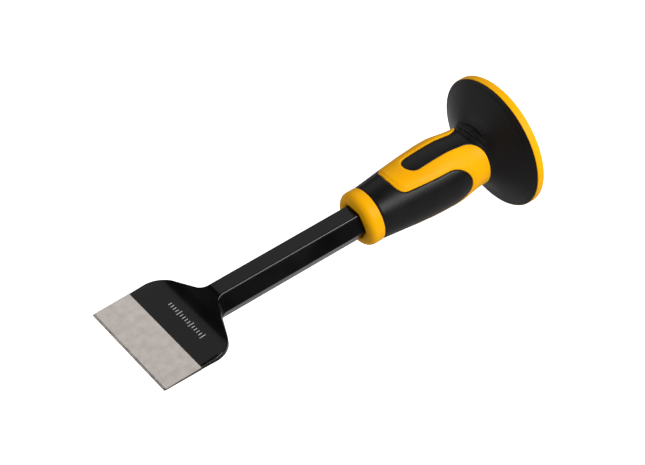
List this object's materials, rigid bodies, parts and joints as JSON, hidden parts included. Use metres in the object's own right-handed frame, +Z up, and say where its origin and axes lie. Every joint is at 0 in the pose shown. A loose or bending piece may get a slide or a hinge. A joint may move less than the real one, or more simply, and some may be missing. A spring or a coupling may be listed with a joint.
{
  "type": "guarded brick chisel",
  "caption": "Wide flat cold chisel (brick bolster) with a painted six-sided shank, ground blade, two-material hand grip and a flared guard below the struck head.",
  "frame": {"origin": "on the floor, half way between the cutting edge and the lowest corner of the struck head, with the tool lying on its blade and on the rim of its guard", "axes": "+X from the cutting edge towards the struck head, +Y across the blade, +Z up; the tool's own axis climbs 9.2 degrees from +X towards +Z"},
  "size_m": [0.2766, 0.087, 0.0865],
  "materials": {
    "forged_steel": "gloss black paint over the forging, with the cutting bevels ground to bare steel",
    "core_plastic": "smooth yellow moulded plastic with a soft sheen",
    "soft_grip": "satin black soft plastic"
  },
  "bodies": {
    "root": {"chisel_body": "forged_steel", "grip_core": "core_plastic", "front_grip": "soft_grip", "rear_grip": "soft_grip"}
  },
  "joints": []
}
